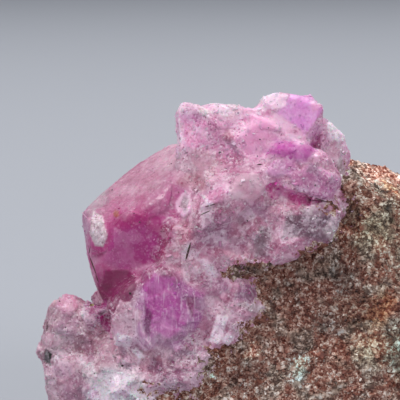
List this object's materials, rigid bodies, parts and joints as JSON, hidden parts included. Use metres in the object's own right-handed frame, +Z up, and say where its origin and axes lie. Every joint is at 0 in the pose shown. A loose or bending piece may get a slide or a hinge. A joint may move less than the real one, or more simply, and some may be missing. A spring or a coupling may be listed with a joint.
{
  "type": "cobaltoan calcite specimen",
  "caption": "Hand specimen of pink, translucent calcite crystals grown over one side of a broken lump of brown, granular host rock, with a flat foot to rest on.",
  "frame": {"origin": "middle of the specimen's box, on the plane that its foot rests on", "axes": "+X to the right along the specimen's length, +Y from the crystal face to the back, +Z up"},
  "size_m": [0.064, 0.0394, 0.0548],
  "materials": {
    "pink_calcite": "satin",
    "magenta_calcite": "satin",
    "violet_calcite": "satin",
    "white_calcite": "satin",
    "host_rock": "matte"
  },
  "bodies": {
    "root": {"crown_crystals": "pink_calcite", "violet_crystals": "violet_calcite", "tooth_crystal": "pink_calcite", "left_crystal": "magenta_calcite", "lower_left_crystals": "pink_calcite", "white_crystals": "white_calcite", "cleaved_crystals": "pink_calcite", "massive_calcite": "pink_calcite", "flank_crystals": "pink_calcite", "host_rock": "host_rock"}
  },
  "joints": []
}
